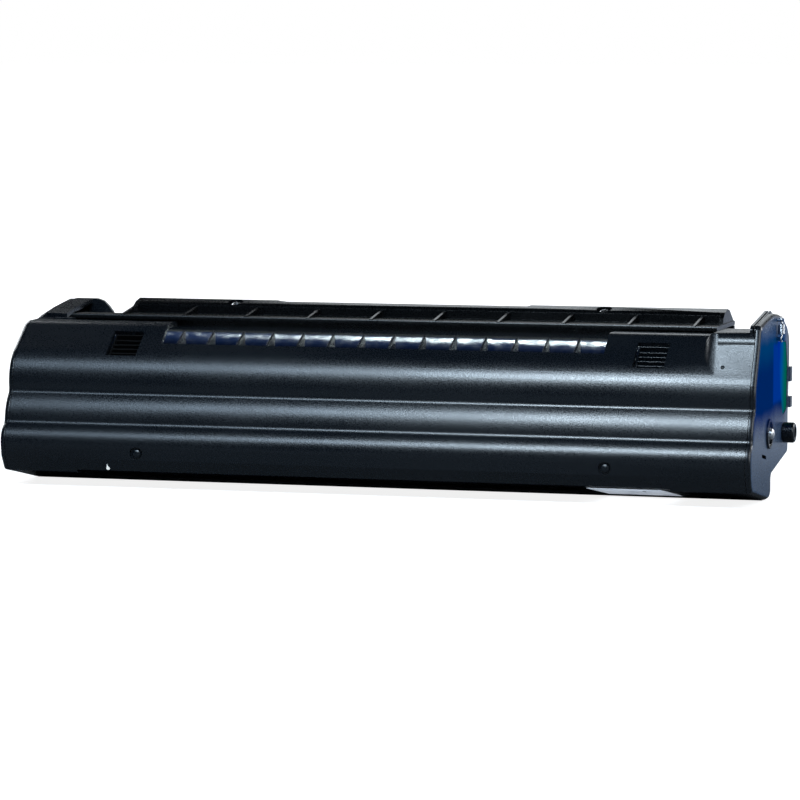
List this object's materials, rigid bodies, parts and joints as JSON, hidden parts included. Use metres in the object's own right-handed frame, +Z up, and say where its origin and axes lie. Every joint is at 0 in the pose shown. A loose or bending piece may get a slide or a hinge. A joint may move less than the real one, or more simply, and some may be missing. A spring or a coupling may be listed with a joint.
{
  "type": "toner cartridge",
  "caption": "All-in-one laser printer cartridge: wave-fronted toner hopper with ribbed laser slot, drum unit on a sprung hinge, gear train, drum shutter, end housings.",
  "frame": {"origin": "on the flat base face, midway between the two ends, 45 mm behind the lower lip's edge", "axes": "+X along the cartridge towards the drive end, +Y to the rear (from the hopper to the drum unit), +Z up"},
  "size_m": [0.38, 0.0985, 0.0879],
  "materials": {
    "black_plastic": "black moulded plastic with a fine spark-eroded grain and soft cool highlights",
    "inner_plastic": "plain black moulding inside the housings",
    "gear_plastic": "natural white acetal",
    "drum_coating": "aluminium tube with a glossy dark blue photoconductor coating",
    "black_rubber": "smooth conductive rubber",
    "sleeve_metal": "blasted dark grey sleeve",
    "bright_steel": "bright plated steel",
    "spring_steel": "bright spring wire",
    "blade_urethane": "amber urethane blade",
    "label_paper": "plain white film sheet, bare"
  },
  "bodies": {
    "hopper_unit": {"toner_hopper": "black_plastic", "slot_frame": "black_plastic", "louvre_left": "black_plastic", "louvre_right": "black_plastic", "front_pin_left": "black_plastic", "front_pin_right": "black_plastic", "underside_label": "label_paper", "fill_plug": "inner_plastic", "idler_stud": "bright_steel", "developer_bearing_left": "gear_plastic", "developer_bearing_right": "gear_plastic", "developer_magnet": "inner_plastic", "doctor_blade": "blade_urethane", "doctor_bracket": "bright_steel", "doctor_screw_left": "bright_steel", "doctor_screw_right": "bright_steel", "end_plate_left": "black_plastic", "end_plate_right": "black_plastic", "guide_boss_left": "black_plastic", "guide_boss_right": "black_plastic", "hinge_pin_left": "bright_steel", "hinge_pin_right": "bright_steel", "tension_spring_left": "spring_steel", "tension_spring_right": "spring_steel"},
    "drum_unit": {"drum_frame": "black_plastic", "rear_cover": "black_plastic", "cover_screw_left": "bright_steel", "cover_screw_right": "bright_steel", "drum_axle_left": "bright_steel", "drum_axle_right": "bright_steel", "charge_bearing_left": "gear_plastic", "charge_bearing_right": "gear_plastic", "charge_spring_left": "spring_steel", "charge_spring_right": "spring_steel", "wiper_blade": "blade_urethane", "wiper_bracket": "bright_steel", "shutter_spring": "spring_steel"},
    "drum": {"opc_drum": "drum_coating", "drum_gear": "gear_plastic", "drum_hub": "gear_plastic"},
    "charge": {"charge_roller": "black_rubber"},
    "developer": {"developer_sleeve": "sleeve_metal", "developer_gear": "gear_plastic", "developer_journal": "gear_plastic"},
    "idler": {"idler_gear": "gear_plastic"},
    "agitator": {"toner_agitator": "inner_plastic", "agitator_gear": "gear_plastic"},
    "shutter": {"drum_shutter": "black_plastic"}
  },
  "joints": [
    {"name": "unit_swing", "type": "hinge", "parent": "hopper_unit", "child": "drum_unit", "pos_m": [0, -0.0056, 0.0314], "axis": [-1, 0, 0], "range_deg": [0, 1.5], "stiffness_Nm_per_rad": 4, "springref_deg": -3.44},
    {"name": "drum_spin", "type": "hinge", "parent": "drum_unit", "child": "drum", "pos_m": [0, 0.012, 0.057], "axis": [1, 0, 0], "continuous": true},
    {"name": "charge_spin", "type": "hinge", "parent": "drum_unit", "child": "charge", "pos_m": [0, 0.02783, 0.07125], "axis": [1, 0, 0], "continuous": true},
    {"name": "developer_spin", "type": "hinge", "parent": "hopper_unit", "child": "developer", "pos_m": [0, -0.00999, 0.0493], "axis": [1, 0, 0], "continuous": true},
    {"name": "idler_spin", "type": "hinge", "parent": "hopper_unit", "child": "idler", "pos_m": [0, -0.02, 0.03925], "axis": [1, 0, 0], "continuous": true},
    {"name": "agitator_spin", "type": "hinge", "parent": "hopper_unit", "child": "agitator", "pos_m": [0, -0.02, 0.02], "axis": [1, 0, 0], "continuous": true},
    {"name": "shutter_swing", "type": "hinge", "parent": "drum_unit", "child": "shutter", "pos_m": [0, 0.0365, 0.041], "axis": [1, 0, 0], "range_deg": [0, 100], "stiffness_Nm_per_rad": 0.004, "springref_deg": -57.3}
  ],
  "couplings": [
    {"joint": "charge_spin", "follows": "drum_spin", "ratio": -2.5},
    {"joint": "developer_spin", "follows": "drum_spin", "ratio": -2.2857},
    {"joint": "idler_spin", "follows": "drum_spin", "ratio": 2.2857},
    {"joint": "agitator_spin", "follows": "drum_spin", "ratio": -1.3333}
  ]
}
